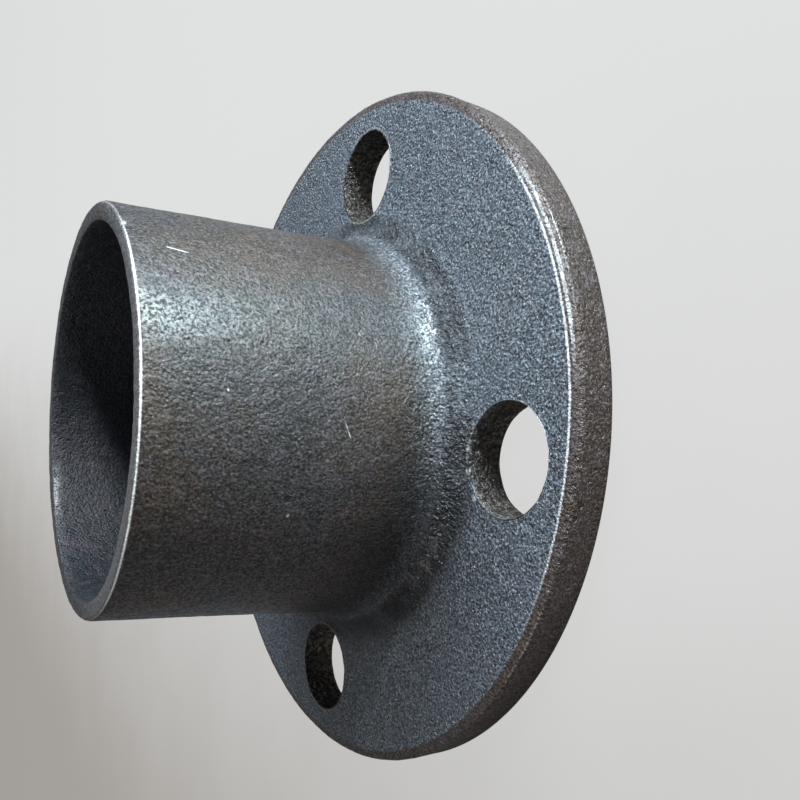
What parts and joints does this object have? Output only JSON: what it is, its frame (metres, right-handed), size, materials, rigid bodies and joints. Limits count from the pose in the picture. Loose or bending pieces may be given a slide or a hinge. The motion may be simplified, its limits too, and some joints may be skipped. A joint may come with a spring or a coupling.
{
  "type": "tube base flange",
  "caption": "Round cast flange plate with an open tapered tube hub, a wide root fillet and plain bolt holes around it.",
  "frame": {"origin": "centre of the tube bore on the seating face, the flat underside of the plate", "axes": "+Z along the bore axis from the seating face to the hub's mouth, +X and +Y through the centres of neighbouring bolt holes"},
  "size_m": [0.161, 0.161, 0.069],
  "materials": {
    "cast_iron": "raw as-cast, fine sand texture"
  },
  "bodies": {
    "root": {"base_flange": "cast_iron"}
  },
  "joints": []
}
